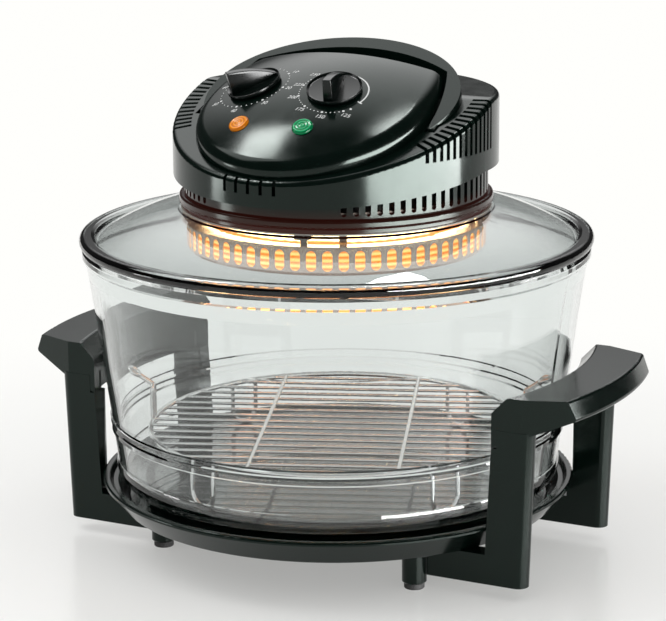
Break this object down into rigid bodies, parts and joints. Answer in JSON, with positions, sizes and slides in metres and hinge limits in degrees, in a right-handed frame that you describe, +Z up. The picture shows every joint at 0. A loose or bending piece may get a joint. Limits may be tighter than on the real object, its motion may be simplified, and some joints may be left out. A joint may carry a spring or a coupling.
{
  "type": "halogen oven",
  "caption": "Countertop halogen oven: clear glass bowl and lid, moulded stand with side handles, motor head with lamp guard, fan, dials and folding handle.",
  "frame": {"origin": "on the oven's vertical axis at the level of the rubber feet", "axes": "+X towards the right-hand side handle, -Y towards the front (controls), +Z up"},
  "size_m": [0.4108, 0.34, 0.3333],
  "materials": {
    "housing": "gloss black with a slight green cast",
    "control_black": "gloss black",
    "clear_glass": "clear tempered glass",
    "lamp_glass": "clear quartz tube with a glowing filament",
    "bright_steel": "bright pressed steel",
    "wire": "bright plated wire",
    "aluminium": "bright reflector sheet",
    "steel": "plain steel",
    "silicone": "matt dark silicone",
    "foot_rubber": "matt black rubber",
    "ceramic": "off-white ceramic",
    "copper": "enamelled copper winding",
    "grey_plastic": "grey moulded body",
    "amber": "translucent amber",
    "green": "translucent green"
  },
  "bodies": {
    "stand": {"base_tray": "housing", "side_handle_left": "housing", "side_handle_right": "housing", "leg_front_left": "housing", "leg_front_right": "housing", "leg_rear_left": "housing", "leg_rear_right": "housing", "feet": "housing", "foot_tips": "foot_rubber", "leg_screws": "steel"},
    "bowl": {"glass_bowl": "clear_glass"},
    "rack": {"wire_rack": "wire", "rack_ears": "wire"},
    "lid": {"glass_lid": "clear_glass", "lid_gasket": "silicone", "lower_housing": "housing", "lamp_guard": "bright_steel", "guard_posts": "steel", "reflector": "aluminium", "halogen_lamp": "lamp_glass", "lamp_caps": "ceramic", "lamp_clips": "steel", "heat_shield": "steel", "motor_bracket": "steel", "motor_stator": "steel", "motor_coil": "copper", "shaft_bushes": "steel", "upper_housing": "housing", "cord_gland": "control_black", "housing_screws": "steel", "control_panel": "housing", "timer_unit": "grey_plastic", "thermostat_unit": "grey_plastic", "amber_lens": "amber", "green_lens": "green", "indicator_lamps": "ceramic", "hinge_pins": "steel", "safety_switch": "grey_plastic"},
    "fan": {"fan_shaft": "steel", "convection_fan": "aluminium", "cooling_fan": "grey_plastic", "motor_rotor": "steel"},
    "timer_dial": {"timer_knob": "control_black"},
    "thermostat_dial": {"thermostat_knob": "control_black"},
    "handle": {"carry_handle": "housing"},
    "plunger": {"switch_plunger": "grey_plastic"}
  },
  "joints": [
    {"name": "bowl_lift", "type": "slide", "parent": "stand", "child": "bowl", "axis": [0, 0, 1], "range_m": [0, 0.25]},
    {"name": "rack_lift", "type": "slide", "parent": "bowl", "child": "rack", "axis": [0, 0, 1], "range_m": [0, 0.07]},
    {"name": "lid_lift", "type": "slide", "parent": "bowl", "child": "lid", "axis": [0, 0, 1], "range_m": [0, 0.3]},
    {"name": "fan_spin", "type": "hinge", "parent": "lid", "child": "fan", "pos_m": [0, 0, 0.24], "axis": [0, 0, 1], "continuous": true},
    {"name": "timer_turn", "type": "hinge", "parent": "lid", "child": "timer_dial", "pos_m": [-0.0392, -0.03783, 0.30958], "axis": [-0.1782, -0.3806, 0.9074], "range_deg": [-300, 0]},
    {"name": "thermostat_turn", "type": "hinge", "parent": "lid", "child": "thermostat_dial", "pos_m": [0.0206, -0.0409, 0.31105], "axis": [0.0936, -0.3946, 0.9141], "range_deg": [-270, 0]},
    {"name": "handle_raise", "type": "hinge", "parent": "lid", "child": "handle", "pos_m": [0, -0.024, 0.284], "axis": [1, 0, 0], "range_deg": [0, 62]},
    {"name": "plunger_rise", "type": "slide", "parent": "lid", "child": "plunger", "axis": [0, 0, 1], "range_m": [0, 0.0014]}
  ],
  "couplings": [
    {"joint": "plunger_rise", "follows": "handle_raise", "m_per_rad": 0.001294}
  ]
}
